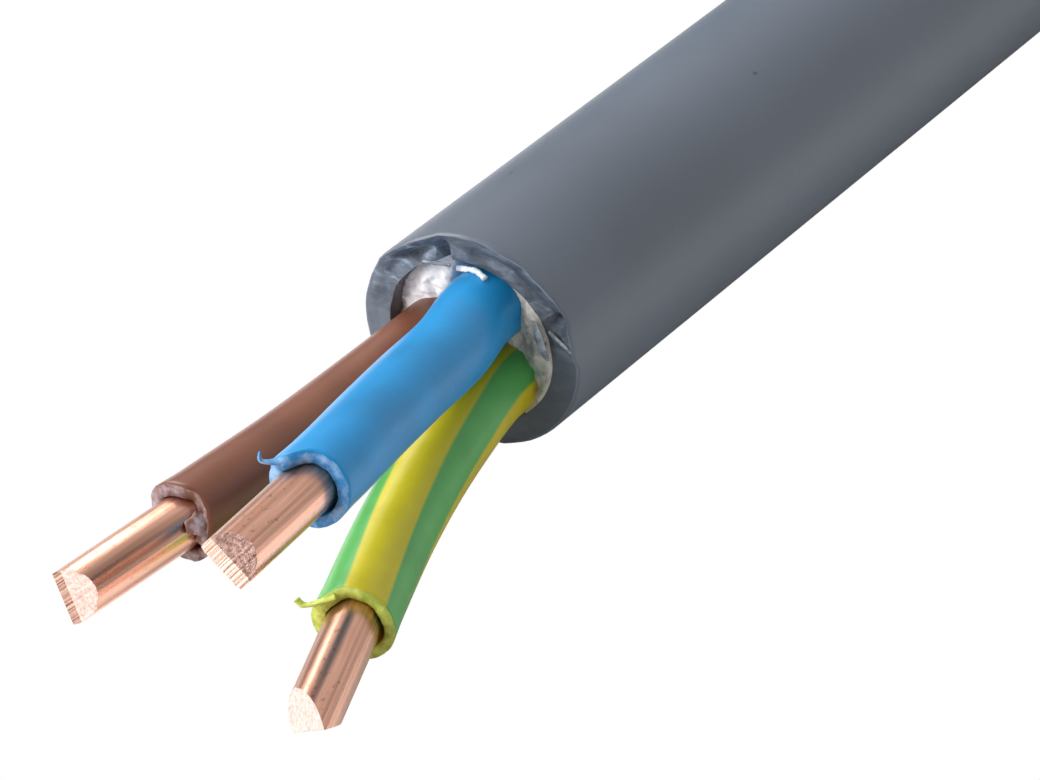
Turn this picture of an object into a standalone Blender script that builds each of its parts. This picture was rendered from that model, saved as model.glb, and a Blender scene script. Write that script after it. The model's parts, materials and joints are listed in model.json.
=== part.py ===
"""Three-core electrical installation cable, five metres long, with one end stripped.

The stripped end lies on the floor with its cut sheath facing -Y: three insulated cores leave
it and each shows a length of bare solid copper. Behind the cut the cable runs straight along
+Y, and the rest of its length lies in a neat round coil of four layers with three turns in
each, held by three ties. The part's origin is on the floor under the middle of its footprint.
"""
from math import acos, atan2, cos, pi, radians, sin, sqrt

import bmesh
import bpy
from mathutils import Matrix, Vector

MM = 0.001

# Sizes of the cable's section
CONDUCTOR_DIAMETER = 2.76 * MM
INSULATION_WALL = 0.60 * MM
SHEATH_WALL = 1.50 * MM
FIT = 0.10 * MM         # play round a conductor, between the cores and inside the sheath
GAP = 0.30 * MM         # between pieces that lie against each other

# Where the cores lie in the sheath: degrees clockwise from the top, seen from the cut end
BLUE_ANGLE = 22.0
GREEN_YELLOW_ANGLE = 137.0
BROWN_ANGLE = 252.0

CORE_RADIUS = CONDUCTOR_DIAMETER / 2 + FIT + INSULATION_WALL
CLOSEST_ANGLE = min(GREEN_YELLOW_ANGLE - BLUE_ANGLE, BROWN_ANGLE - GREEN_YELLOW_ANGLE,
                    360.0 + BLUE_ANGLE - BROWN_ANGLE)
CORE_OFFSET = (CORE_RADIUS + FIT / 2) / sin(radians(CLOSEST_ANGLE / 2))
BORE_RADIUS = CORE_OFFSET + CORE_RADIUS + FIT
SHEATH_RADIUS = BORE_RADIUS + SHEATH_WALL

# The cut end of the sheath and the packing behind it
CUT_YAW = 5.3           # degrees: the knife cut leans back on the right
CUT_PITCH = 3.2         # degrees: and forward at the top
STRAIGHT_LENGTH = 100.0 * MM
TOP_LEFT_RECESS = 3.0 * MM
RIGHT_RECESS = 0.8 * MM
BOTTOM_RECESS = 1.6 * MM
FILLER_EDGE = 0.20 * MM

# Routes of the stripped cores from the cut, as steps right, forward (-Y) and up, in millimetres
BLUE_ROUTE = ((0.14, 1.3, 0.02), (1.06, 4.8, 0.23), (1.86, 9.6, 0.72), (2.76, 14.3, 1.25),
              (3.66, 18.4, 1.78), (4.30, 23.2, 2.05), (4.80, 28.4, 2.18))
BROWN_ROUTE = ((-0.03, 1.3, -0.05), (-0.38, 7.2, -0.42), (-0.46, 12.2, -0.40),
               (-0.84, 18.7, -0.36), (-1.60, 22.6, -0.85), (-2.70, 26.2, -1.70))
GREEN_YELLOW_ROUTE = ((0.03, 1.3, -0.08), (0.30, 3.6, -0.40), (1.10, 8.2, -1.07),
                      (2.35, 12.9, -1.57), (4.40, 18.8, -1.92), (6.90, 25.8, -2.30))
BLUE_INSULATED = 21.6 * MM
BROWN_INSULATED = 20.2 * MM
GREEN_YELLOW_INSULATED = 20.4 * MM
COPPER_CUT = 24.0       # degrees that the cutters' bite leans on each copper end
ROUTE_STEP = 2.0 * MM

# The coil
TURNS_ACROSS = 3
LAYERS = 4
TURN_GAP = 0.10 * MM
COIL_RADIUS = 66.7 * MM         # at the middle of its turns
END_ANGLE = 255.0               # degrees round from where the cable joins the coil
MISSING_ARC = 75.0              # degrees of the last turn that the cable's end leaves open
TURN_PITCH = 2 * SHEATH_RADIUS + TURN_GAP
OUTER_TURN_RADIUS = COIL_RADIUS + (TURNS_ACROSS - 1) / 2 * TURN_PITCH
INNER_TURN_RADIUS = COIL_RADIUS - (TURNS_ACROSS - 1) / 2 * TURN_PITCH
TOP_TURN_HEIGHT = SHEATH_RADIUS + (LAYERS - 1) * TURN_PITCH

# The ties
TIE_ANGLES = (20.0, 130.0, 240.0)
TIE_WIDTH = 4.8 * MM
TIE_THICKNESS = 1.2 * MM
TIE_HEAD = (6.6 * MM, 5.6 * MM, 4.4 * MM)

# Facets of the round pieces
SHEATH_SIDES = 32
INSULATION_SIDES = 16
CONDUCTOR_SIDES = 12
COIL_STEPS = 52
TURN_FACET = 30.0               # degrees of a turn's section in each facet
TURN_RADIUS = SHEATH_RADIUS / cos(radians(TURN_FACET / 2))

LEAD_LENGTH = sqrt((OUTER_TURN_RADIUS + TURN_RADIUS) ** 2
                   - (OUTER_TURN_RADIUS - SHEATH_RADIUS) ** 2) + GAP
COIL_CENTRE = Vector((-OUTER_TURN_RADIUS, STRAIGHT_LENGTH + GAP + LEAD_LENGTH, 0.0))

COLOURS = {
    "sheath": ((0.105, 0.118, 0.135), 0.42, 0.0),
    "filler": ((0.62, 0.57, 0.50), 0.90, 0.0),
    "insulation_blue": ((0.030, 0.185, 0.440), 0.32, 0.0),
    "insulation_brown": ((0.175, 0.070, 0.045), 0.32, 0.0),
    "insulation_green_yellow": ((0.480, 0.460, 0.040), 0.32, 0.0),
    "copper": ((0.780, 0.380, 0.240), 0.24, 1.0),
    "tie": ((0.030, 0.030, 0.032), 0.45, 0.0),
}


def clear_scene():
    for obj in list(bpy.data.objects):
        bpy.data.objects.remove(obj, do_unlink=True)


def new_collection(name):
    collection = bpy.data.collections.new(name)
    bpy.context.scene.collection.children.link(collection)
    return collection


def make_material(name):
    colour, roughness, metallic = COLOURS[name]
    material = bpy.data.materials.new(name)
    material.use_nodes = True
    shader = material.node_tree.nodes["Principled BSDF"]
    shader.inputs["Base Color"].default_value = (*colour, 1.0)
    shader.inputs["Roughness"].default_value = roughness
    shader.inputs["Metallic"].default_value = metallic
    return material


clear_scene()
CABLE = new_collection("cable")
CUTTERS = new_collection("cutters")
MATERIALS = {name: make_material(name) for name in COLOURS}


def add_object(name, data, material=None):
    """A new object: a named piece with its material, or a cutter when it has none."""
    obj = bpy.data.objects.new(name, data)
    if material:
        CABLE.objects.link(obj)
        data.materials.clear()
        data.materials.append(MATERIALS[material])
    else:
        CUTTERS.objects.link(obj)
        obj.hide_render = True
        obj.display_type = "WIRE"
    return obj


def as_mesh(curve_object, material=None):
    """The same object as a mesh whose caps and seams are welded."""
    name = curve_object.name
    bpy.context.view_layer.update()
    evaluated = curve_object.evaluated_get(bpy.context.evaluated_depsgraph_get())
    mesh = bpy.data.meshes.new_from_object(evaluated)
    place = curve_object.matrix_world.copy()
    bpy.data.objects.remove(curve_object, do_unlink=True)
    weld(mesh)
    obj = add_object(name, mesh, material)
    obj.matrix_world = place
    mesh.shade_smooth()
    mesh.set_sharp_from_angle(angle=radians(40.0))
    return obj


def weld(mesh):
    form = bmesh.new()
    form.from_mesh(mesh)
    bmesh.ops.remove_doubles(form, verts=form.verts, dist=0.001 * MM)
    form.to_mesh(mesh)
    form.free()


def tube(name, points, radius, sides, material=None, capped=True):
    """A round rod, or an open tube when it isn't capped, along points."""
    curve = bpy.data.curves.new(name, "CURVE")
    curve.dimensions = "3D"
    spline = curve.splines.new("POLY")
    spline.points.add(len(points) - 1)
    for node, point in zip(spline.points, points):
        node.co = (*point, 1.0)
    curve.bevel_depth = radius
    curve.bevel_resolution = (sides - 4) // 2
    curve.use_fill_caps = capped
    return as_mesh(add_object(name, curve, material), material)


def add_wall(obj, wall):
    solidify = obj.modifiers.new("wall", "SOLIDIFY")
    solidify.thickness = wall
    solidify.offset = -1.0
    solidify.use_even_offset = True


def combine(obj, cutter, operation="DIFFERENCE"):
    boolean = obj.modifiers.new(cutter.name, "BOOLEAN")
    boolean.operation = operation
    boolean.object = cutter


def block(name, size, centre, turn=None, material=None):
    """A box with its sides along the axes, or turned by a rotation matrix."""
    form = bmesh.new()
    bmesh.ops.create_cube(form, size=1.0, matrix=Matrix.Diagonal((*size, 1.0)))
    mesh = bpy.data.meshes.new(name)
    form.to_mesh(mesh)
    form.free()
    obj = add_object(name, mesh, material)
    obj.matrix_world = Matrix.Translation(centre) @ (turn or Matrix.Identity(4))
    return obj


def knife(name, point, normal, size):
    """A cutter that takes away what lies past a plane, on the side its normal points to."""
    turn = normal.to_track_quat("Z", "Y").to_matrix().to_4x4()
    return block(name, (size, size, size), point + normal * (size / 2), turn)


def core_centre(angle):
    """Where a core's centre line passes through the cut end."""
    turn = radians(angle)
    return Vector((CORE_OFFSET * sin(turn), 0.0, SHEATH_RADIUS + CORE_OFFSET * cos(turn)))


def smooth_curve(points, step):
    """Points about one step apart on a smooth curve through the points given."""
    padded = [2 * points[0] - points[1], *points, 2 * points[-1] - points[-2]]
    result = [points[0]]
    for before, start, end, after in zip(padded, padded[1:], padded[2:], padded[3:]):
        count = max(1, round((end - start).length / step))
        leave = (end - before) * ((end - start).length / (end - before).length)
        arrive = (after - start) * ((end - start).length / (after - start).length)
        for index in range(1, count + 1):
            t = index / count
            result.append(start * (2 * t**3 - 3 * t**2 + 1) + leave * (t**3 - 2 * t**2 + t)
                          + end * (3 * t**2 - 2 * t**3) + arrive * (t**3 - t**2))
    return result


def core_route(angle, route):
    """A core's centre line: straight inside the sheath, then along its own bends."""
    centre = core_centre(angle)
    inside = [centre + Vector((0.0, depth * MM, 0.0)) for depth in (8.0, 4.0, 0.0)]
    outside = [centre + Vector((right, -forward, up)) * MM for right, forward, up in route]
    back = Vector((centre.x, STRAIGHT_LENGTH, centre.z))
    return [back, *smooth_curve(inside + outside, ROUTE_STEP)]


def shorten(points, length):
    """The part of a route that ends at a length past the cut end."""
    result = []
    travelled = 0.0
    for start, end in zip(points, points[1:]):
        result.append(start)
        if start.y > 0.0:
            continue
        step = (end - start).length
        if travelled + step >= length:
            result.append(start.lerp(end, (length - travelled) / step))
            return result
        travelled += step
    return points


def make_core(colour, angle, route, insulated):
    """One core: its insulation and its solid conductor with a leaning cut end."""
    points = core_route(angle, route)
    insulation = tube(f"insulation_{colour}", shorten(points, insulated), CORE_RADIUS,
                      INSULATION_SIDES, f"insulation_{colour}", capped=False)
    add_wall(insulation, INSULATION_WALL)
    ahead = (points[-1] - points[-2]).normalized()
    spare = points[-1] + ahead * CONDUCTOR_DIAMETER
    conductor = tube(f"conductor_{colour}", [*points, spare], CONDUCTOR_DIAMETER / 2,
                     CONDUCTOR_SIDES, "copper")
    lean = Matrix.Rotation(radians(COPPER_CUT), 3, ahead.cross(Vector((0.0, 0.0, 1.0))))
    combine(conductor, knife(f"bite_{colour}", points[-1], lean @ ahead, 4 * CONDUCTOR_DIAMETER))
    return insulation, conductor


def make_straight_sheath():
    """The sheath behind its cut end: a tube with a slightly leaning knife cut."""
    start = Vector((0.0, -SHEATH_RADIUS, SHEATH_RADIUS))
    end = Vector((0.0, STRAIGHT_LENGTH, SHEATH_RADIUS))
    sheath = tube("sheath_straight", [start, end], SHEATH_RADIUS, SHEATH_SIDES, "sheath",
                  capped=False)
    add_wall(sheath, SHEATH_WALL)
    yaw = radians(CUT_YAW)
    pitch = radians(CUT_PITCH)
    normal = Vector((sin(yaw), -cos(yaw) * cos(pitch), -sin(pitch))).normalized()
    combine(sheath, knife("sheath_knife", Vector((0.0, 0.0, SHEATH_RADIUS)), normal,
                          4 * SHEATH_RADIUS))
    return sheath


def arc(centre, radius, start, end, count):
    """Points on an arc of a flat outline, with angles in radians."""
    return [(centre[0] + radius * cos(start + (end - start) * step / count),
             centre[1] + radius * sin(start + (end - start) * step / count))
            for step in range(count + 1)]


def flat_piece(name, outlines, depth, material=None):
    """A flat outline, with any holes, given its thickness and made a mesh."""
    curve = bpy.data.curves.new(name, "CURVE")
    curve.dimensions = "2D"
    curve.fill_mode = "BOTH"
    curve.extrude = depth / 2
    for outline in outlines:
        spline = curve.splines.new("POLY")
        spline.use_cyclic_u = True
        spline.points.add(len(outline) - 1)
        for node, point in zip(spline.points, outline):
            node.co = (*point, 0.0, 1.0)
    return as_mesh(add_object(name, curve, material), material)


def valley_outline(first, second):
    """The section of the packing between two neighbouring cores and the sheath."""
    bore = BORE_RADIUS - 2 * FIT
    hollow = CORE_RADIUS + FIT
    a = Vector((CORE_OFFSET * sin(radians(first)), CORE_OFFSET * cos(radians(first))))
    b = Vector((CORE_OFFSET * sin(radians(second)), CORE_OFFSET * cos(radians(second))))
    apart = (b - a).length
    along = (b - a) / apart
    middle = (a + b) / 2
    out = middle.normalized()
    beside = acos((bore**2 + CORE_OFFSET**2 - hollow**2) / (2 * bore * CORE_OFFSET))
    half = acos(a.normalized().dot(out)) - beside
    heading = atan2(out.y, out.x)
    side = 1.0 if along.x * out.y - along.y * out.x > 0.0 else -1.0
    rim = arc((0.0, 0.0), bore, heading + side * half, heading - side * half, 6)
    corner = Vector(rim[-1]) - b
    wide = atan2(corner.dot(out), -corner.dot(along))
    tip = acos((apart / 2 - FILLER_EDGE) / hollow)
    angles = [wide + (tip - wide) * step / 5 for step in range(6)]
    down = [b - along * hollow * cos(angle) + out * hollow * sin(angle) for angle in angles]
    up = [a + along * hollow * cos(angle) + out * hollow * sin(angle) for angle in angles]
    return [*rim[1:-1], *(tuple(point) for point in down), *(tuple(point) for point in up[::-1])]


def make_filler(name, first, second, recess):
    """One strand of the packing, along the straight sheath behind the cut end."""
    length = STRAIGHT_LENGTH - recess
    filler = flat_piece(name, [valley_outline(first, second)], length, "filler")
    filler.location = (0.0, recess + length / 2, SHEATH_RADIUS)
    filler.rotation_euler = (radians(90.0), 0.0, 0.0)
    return filler


def bundle_outline():
    """The coil's section: the outer arcs of its turns, clockwise from the outer side's top."""
    columns = [INNER_TURN_RADIUS + index * TURN_PITCH for index in range(TURNS_ACROSS)]
    rows = [SHEATH_RADIUS + index * TURN_PITCH for index in range(LAYERS)]
    sides = ([(columns[-1], height) for height in reversed(rows)],
             [(radius, rows[0]) for radius in reversed(columns)],
             [(columns[0], height) for height in rows],
             [(radius, rows[-1]) for radius in columns])
    outline = []
    for facing, side in zip((0.0, -90.0, -180.0, -270.0), sides):
        for index, centre in enumerate(side):
            first = facing + 45.0
            last = facing - 45.0
            steps = round((first - last) / TURN_FACET)
            points = arc(centre, TURN_RADIUS, radians(first), radians(last), steps)
            outline += points if index < len(side) - 1 else points[:-1]
    return outline


def turned(name, outline, angle, steps, start=0.0, material=None):
    """A closed outline turned about the coil's axis, through a full or a part turn."""
    mesh = bpy.data.meshes.new(name)
    vertices = [(radius, 0.0, height) for radius, height in outline]
    edges = [(index, (index + 1) % len(outline)) for index in range(len(outline))]
    full = angle == 360.0
    faces = [] if full else [tuple(range(len(outline)))]
    mesh.from_pydata(vertices, [] if faces else edges, faces)
    obj = add_object(name, mesh, material)
    obj.location = COIL_CENTRE
    obj.rotation_euler = (0.0, 0.0, radians(start))
    screw = obj.modifiers.new("turn", "SCREW")
    screw.axis = "Z"
    screw.angle = radians(angle)
    screw.steps = steps
    screw.render_steps = steps
    screw.use_merge_vertices = True
    screw.merge_threshold = 0.01 * MM
    screw.use_smooth_shade = True
    return obj


def make_coil():
    """The coiled length as one solid, with the lead that comes in from the straight sheath."""
    coil = turned("sheath_coil", bundle_outline(), 360.0, COIL_STEPS, material="sheath")
    start = Vector((0.0, STRAIGHT_LENGTH + GAP, SHEATH_RADIUS))
    end = Vector((-GAP, COIL_CENTRE.y, SHEATH_RADIUS + GAP))
    combine(coil, tube("coil_lead", [start, end], SHEATH_RADIUS, INSULATION_SIDES), "UNION")
    low = TOP_TURN_HEIGHT - TURN_PITCH / 2
    high = TOP_TURN_HEIGHT + TURN_PITCH
    near = OUTER_TURN_RADIUS - TURN_PITCH / 2
    far = OUTER_TURN_RADIUS + TURN_PITCH
    opening = sector("coil_end_cut", near, far, low, high)
    combine(coil, opening)
    return coil


def sector(name, near, far, low, high):
    """A block bent round the coil's axis, from the cable's end over the missing arc."""
    steps = 12
    start = radians(END_ANGLE)
    end = radians(END_ANGLE + MISSING_ARC)
    outline = arc((0.0, 0.0), near, start, end, steps) + arc((0.0, 0.0), far, end, start, steps)
    obj = flat_piece(name, [outline], high - low)
    obj.location = COIL_CENTRE + Vector((0.0, 0.0, (low + high) / 2))
    return obj


def rounded_rectangle(half_width, half_height, radius):
    corners = ((1, 1, 0.0), (-1, 1, 90.0), (-1, -1, 180.0), (1, -1, 270.0))
    outline = []
    for right, up, start in corners:
        centre = (right * (half_width - radius), up * (half_height - radius))
        outline += arc(centre, radius, radians(start), radians(start + 90.0), 5)
    return outline


def tie_place(angle):
    """A tie's middle, at its height above the floor, and its turn about the coil."""
    turn = radians(angle)
    middle = COIL_CENTRE + Vector((cos(turn), sin(turn), 0.0)) * COIL_RADIUS
    middle.z = TIE_THICKNESS + TIE_HALF_HEIGHT
    return middle, turn


BUNDLE_HALF_WIDTH = (OUTER_TURN_RADIUS - INNER_TURN_RADIUS) / 2 + SHEATH_RADIUS
TIE_HALF_WIDTH = BUNDLE_HALF_WIDTH + GAP
TIE_HALF_HEIGHT = (TOP_TURN_HEIGHT + SHEATH_RADIUS + GAP - TIE_THICKNESS) / 2
TIE_CORNER = SHEATH_RADIUS - GAP


def make_tie(index, angle, coil):
    """A tie round the coil's section, which bites into the turns that it stands on."""
    middle, turn = tie_place(angle)
    inner = rounded_rectangle(TIE_HALF_WIDTH, TIE_HALF_HEIGHT, TIE_CORNER)
    outer = rounded_rectangle(TIE_HALF_WIDTH + TIE_THICKNESS, TIE_HALF_HEIGHT + TIE_THICKNESS,
                              TIE_CORNER + TIE_THICKNESS)
    tie = flat_piece(f"coil_tie_{index}", [outer, inner], TIE_WIDTH, "tie")
    head_height = middle.z + TIE_HALF_HEIGHT + TIE_HEAD[2] / 2
    head = block(f"tie_head_{index}", TIE_HEAD, Vector((middle.x, middle.y, head_height)),
                 Matrix.Rotation(turn, 4, "Z"))
    seat_inner = rounded_rectangle(TIE_HALF_WIDTH, TIE_HALF_HEIGHT, TIE_CORNER)
    seat_outer = rounded_rectangle(TIE_HALF_WIDTH + 3 * TIE_THICKNESS,
                                   TIE_HALF_HEIGHT + 3 * TIE_THICKNESS, TIE_CORNER)
    seat = flat_piece(f"tie_seat_{index}", [seat_outer, seat_inner], TIE_WIDTH + 2 * GAP)
    for piece in (tie, seat):
        piece.location = middle
        piece.rotation_euler = (radians(90.0), 0.0, turn)
    seat.location.z += GAP
    combine(tie, head, "UNION")
    combine(coil, seat)
    return tie


def stand_on_origin():
    """Centre the part's footprint on the origin with one empty that carries every piece."""
    bpy.context.view_layer.update()
    depsgraph = bpy.context.evaluated_depsgraph_get()
    finished = [piece.evaluated_get(depsgraph) for piece in CABLE.objects]
    corners = [piece.matrix_world @ Vector(corner)
               for piece in finished for corner in piece.bound_box]
    base = bpy.data.objects.new("cable_base", None)
    pieces = [*CABLE.objects, *CUTTERS.objects]
    CABLE.objects.link(base)
    for piece in pieces:
        piece.parent = base
    across = [corner.x for corner in corners]
    along = [corner.y for corner in corners]
    base.location = (-(min(across) + max(across)) / 2, -(min(along) + max(along)) / 2, 0.0)


def main():
    make_straight_sheath()
    make_core("blue", BLUE_ANGLE, BLUE_ROUTE, BLUE_INSULATED)
    make_core("brown", BROWN_ANGLE, BROWN_ROUTE, BROWN_INSULATED)
    make_core("green_yellow", GREEN_YELLOW_ANGLE, GREEN_YELLOW_ROUTE, GREEN_YELLOW_INSULATED)
    make_filler("filler_right", BLUE_ANGLE, GREEN_YELLOW_ANGLE, RIGHT_RECESS)
    make_filler("filler_bottom", GREEN_YELLOW_ANGLE, BROWN_ANGLE, BOTTOM_RECESS)
    make_filler("filler_top_left", BROWN_ANGLE, BLUE_ANGLE, TOP_LEFT_RECESS)
    coil = make_coil()
    for index, angle in enumerate(TIE_ANGLES, start=1):
        make_tie(index, angle, coil)
    stand_on_origin()


main()
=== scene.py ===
"""Looks of the three-core cable: its stripped end, its sheath and its coil, round the frame."""
import json
from math import atan2, cos, exp, pi, radians, sin, sqrt, tan

import bpy
from bpy.props import FloatProperty, FloatVectorProperty, IntProperty, PointerProperty
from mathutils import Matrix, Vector, noise

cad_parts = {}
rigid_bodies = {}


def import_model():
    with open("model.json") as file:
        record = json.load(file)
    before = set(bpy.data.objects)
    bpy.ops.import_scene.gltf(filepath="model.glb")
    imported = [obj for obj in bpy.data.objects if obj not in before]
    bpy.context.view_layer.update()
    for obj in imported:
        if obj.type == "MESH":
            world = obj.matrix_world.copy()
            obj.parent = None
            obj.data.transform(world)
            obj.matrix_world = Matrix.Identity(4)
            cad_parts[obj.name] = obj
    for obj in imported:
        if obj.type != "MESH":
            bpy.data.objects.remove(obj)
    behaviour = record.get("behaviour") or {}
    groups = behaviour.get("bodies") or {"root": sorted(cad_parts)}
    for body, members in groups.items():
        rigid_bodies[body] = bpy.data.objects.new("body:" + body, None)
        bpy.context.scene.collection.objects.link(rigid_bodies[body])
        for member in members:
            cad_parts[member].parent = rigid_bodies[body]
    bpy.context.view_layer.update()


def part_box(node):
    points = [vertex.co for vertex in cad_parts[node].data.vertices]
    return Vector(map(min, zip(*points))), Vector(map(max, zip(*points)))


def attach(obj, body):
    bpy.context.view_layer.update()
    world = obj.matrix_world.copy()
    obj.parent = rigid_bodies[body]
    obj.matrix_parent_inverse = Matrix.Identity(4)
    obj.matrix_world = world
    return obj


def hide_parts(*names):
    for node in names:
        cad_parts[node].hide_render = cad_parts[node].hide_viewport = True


bl_info = {
    "name": "Three-core cable",
    "version": (1, 0, 0),
    "blender": (4, 5, 0),
    "location": "View3D > Sidebar > Cable",
    "description": "Dresses a stripped installation cable and its coil",
    "category": "Object",
}

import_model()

MM = 0.001

# Places and sizes read from the frame
SHEATH_LOW, SHEATH_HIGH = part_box("sheath_straight")
COIL_LOW, COIL_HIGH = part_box("sheath_coil")
SHEATH_RADIUS = (SHEATH_HIGH.x - SHEATH_LOW.x) / 2
STRAIGHT_LENGTH = 100.0 * MM
CUT = Vector(((SHEATH_HIGH.x + SHEATH_LOW.x) / 2, SHEATH_HIGH.y - STRAIGHT_LENGTH, SHEATH_RADIUS))
TURN_PITCH = 2 * SHEATH_RADIUS + 0.10 * MM
COIL_REACH = (COIL_HIGH.x - COIL_LOW.x) / 2
COIL_CENTRE = Vector(((COIL_LOW.x + COIL_HIGH.x) / 2, COIL_HIGH.y - COIL_REACH, 0.0))
COIL_RADIUS = COIL_REACH - SHEATH_RADIUS - TURN_PITCH

# The section of the cable, as in the frame
CONDUCTOR_RADIUS = 1.38 * MM
CORE_RADIUS = 2.08 * MM
WIRE_GAP = 0.06 * MM
CORE_OFFSET = 2.5255 * MM
SHEATH_WALL = 1.5 * MM
BORE_RADIUS = SHEATH_RADIUS - SHEATH_WALL

# The stripped cores: their turn round the cable in degrees, how far their insulation comes out
# of the cut, and their routes from the cut as steps right, forward and up, in millimetres
INSIDE_LENGTH = 8.0 * MM
INSULATION_STEP = 0.35 * MM
CORES = {
    "blue": (22.0, 21.6, ((0.14, 1.3, 0.02), (1.06, 4.8, 0.23), (1.86, 9.6, 0.72),
                          (2.76, 14.3, 1.25), (3.66, 18.4, 1.78), (4.30, 23.2, 2.05),
                          (4.80, 28.4, 2.18))),
    "brown": (252.0, 20.2, ((-0.03, 1.3, -0.05), (-0.38, 7.2, -0.42), (-0.46, 12.2, -0.40),
                            (-0.84, 18.7, -0.36), (-1.60, 22.6, -0.85), (-2.70, 26.2, -1.70))),
    "green_yellow": (137.0, 20.4, ((0.03, 1.3, -0.08), (0.30, 3.6, -0.40), (1.10, 8.2, -1.07),
                                   (2.35, 12.9, -1.57), (4.40, 18.8, -1.92),
                                   (6.90, 25.8, -2.30))),
}

# The camera, worked out from the sheath's taper and the cut end's outline
PHOTO_WIDTH = 1040.0
PHOTO_HEIGHT = 780.0
FOCAL_PIXELS = 5100.0
CUT_PIXEL = (470.8, 340.1)
CUT_DISTANCE = 260.7 * MM
SENSOR_WIDTH = 36.0


class CableSizes(bpy.types.PropertyGroup):
    azimuth: FloatProperty(name="Azimuth", description="Camera's turn round the cut end",
                           default=radians(33.5), subtype="ANGLE")
    elevation: FloatProperty(name="Elevation", description="Camera's height above the horizon",
                             default=radians(32.0), subtype="ANGLE")
    turn_steps: IntProperty(name="Turn steps", description="Rings of the sheath in one turn",
                            default=60, min=12)
    tie_lift: FloatProperty(name="Tie lift", description="Rise of the turns over a tie's strap",
                            default=1.3 * MM, unit="LENGTH")


class CableColours(bpy.types.PropertyGroup):
    sheath: FloatVectorProperty(name="Sheath", description="Slate grey of the sheath",
                                subtype="COLOR", default=(0.094, 0.113, 0.145))
    blue: FloatVectorProperty(name="Blue", description="Blue insulation",
                              subtype="COLOR", default=(0.005, 0.215, 0.49))
    brown: FloatVectorProperty(name="Brown", description="Brown insulation",
                               subtype="COLOR", default=(0.170, 0.058, 0.030))
    yellow: FloatVectorProperty(name="Yellow", description="Yellow band of the earth core",
                                subtype="COLOR", default=(0.56, 0.47, 0.014))
    green: FloatVectorProperty(name="Green", description="Green band of the earth core",
                               subtype="COLOR", default=(0.085, 0.36, 0.085))
    copper: FloatVectorProperty(name="Copper", description="Bright drawn copper",
                                subtype="COLOR", default=(0.86, 0.47, 0.34))


def smooth_step(value):
    """Eases a value from 0 to 1."""
    t = min(1.0, max(0.0, value))
    return t * t * (3.0 - 2.0 * t)


def smooth_curve(points, step):
    """Points about one step apart on a smooth curve through the points given."""
    padded = [2 * points[0] - points[1], *points, 2 * points[-1] - points[-2]]
    result = [points[0]]
    for before, start, end, after in zip(padded, padded[1:], padded[2:], padded[3:]):
        count = max(1, round((end - start).length / step))
        leave = (end - before) * ((end - start).length / (end - before).length)
        arrive = (after - start) * ((end - start).length / (after - start).length)
        for index in range(1, count + 1):
            t = index / count
            result.append(start * (2 * t**3 - 3 * t**2 + 1) + leave * (t**3 - 2 * t**2 + t)
                          + end * (3 * t**2 - 2 * t**3) + arrive * (t**3 - t**2))
    return result


def shorten(points, length):
    """The part of a route that ends after a length."""
    travelled = 0.0
    for index, (start, end) in enumerate(zip(points, points[1:])):
        step = (end - start).length
        if travelled + step >= length:
            share = (length - travelled) / step
            kept = points[:index + 1] if share > 0.5 or index == 0 else points[:index]
            return kept + [start.lerp(end, share)]
        travelled += step
    return points


def placed(steps, start=CUT):
    """Places given by steps right, forward and up from a start, in millimetres."""
    return [start + Vector((right, -forward, up)) * MM for right, forward, up in steps]


def core_centre(angle):
    """Where a core's middle lies in the cut, by its turn round the cable in degrees."""
    turn = radians(angle)
    return CUT + Vector((CORE_OFFSET * sin(turn), 0.0, CORE_OFFSET * cos(turn)))


def core_route(colour, step):
    """A core's centre line from inside the sheath to the end of its copper."""
    angle, _, route = CORES[colour]
    centre = core_centre(angle)
    inside = [centre + Vector((0.0, depth, 0.0)) for depth in (INSIDE_LENGTH,
                                                               INSIDE_LENGTH / 2, 0.0)]
    return smooth_curve(inside + placed(route, centre), step)


def insulation_route(colour):
    """The part of a core's centre line that its insulation covers."""
    _, insulated, _ = CORES[colour]
    return shorten(core_route(colour, INSULATION_STEP), INSIDE_LENGTH + insulated * MM)


# The coil: columns and rows that the turns take in order, and, in degrees before the end of
# a turn, where they start and stop changing over
COLUMNS = (2, 1, 0, 0, 1, 2, 2, 1, 0, 0, 1, 2)
ROWS = (0, 0, 0, 1, 1, 1, 2, 2, 2, 3, 3, 3)
STEP_ACROSS = (45.0, 2.0)
STEP_UP = (87.0, 47.0)
FAR_ANGLE = 360.0 * len(COLUMNS) - 105.0
TIE_ANGLES = (20.0, 130.0, 240.0)
LIFT_REACH = 20.0 * MM
LIFT_LOST = 0.31  # share of a tie's rise that each layer takes up
STRAIGHT_STEPS = 30


def coil_point(angle, lift):
    """A point of the cable's centre line, by its turn round the coil in degrees."""
    turn = min(int(angle // 360.0), len(COLUMNS) - 1)
    left = 360.0 * (turn + 1) - angle
    following = min(turn + 1, len(COLUMNS) - 1)
    first, last = STEP_UP if ROWS[following] != ROWS[turn] else STEP_ACROSS
    change = smooth_step((first - left) / (first - last))
    column = COLUMNS[turn] + (COLUMNS[following] - COLUMNS[turn]) * change
    row = ROWS[turn] + (ROWS[following] - ROWS[turn]) * change
    radius = COIL_RADIUS + (column - 1.0) * TURN_PITCH
    height = SHEATH_RADIUS + row * TURN_PITCH
    for tie in TIE_ANGLES:
        away = abs((angle - tie + 180.0) % 360.0 - 180.0)
        reach = radians(away) * radius / LIFT_REACH
        if reach < 1.0:
            height += lift * (1.0 - LIFT_LOST * row) * cos(reach * pi / 2) ** 2
    turned = radians(angle)
    return COIL_CENTRE + Vector((radius * cos(turned), radius * sin(turned), height))


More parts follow.
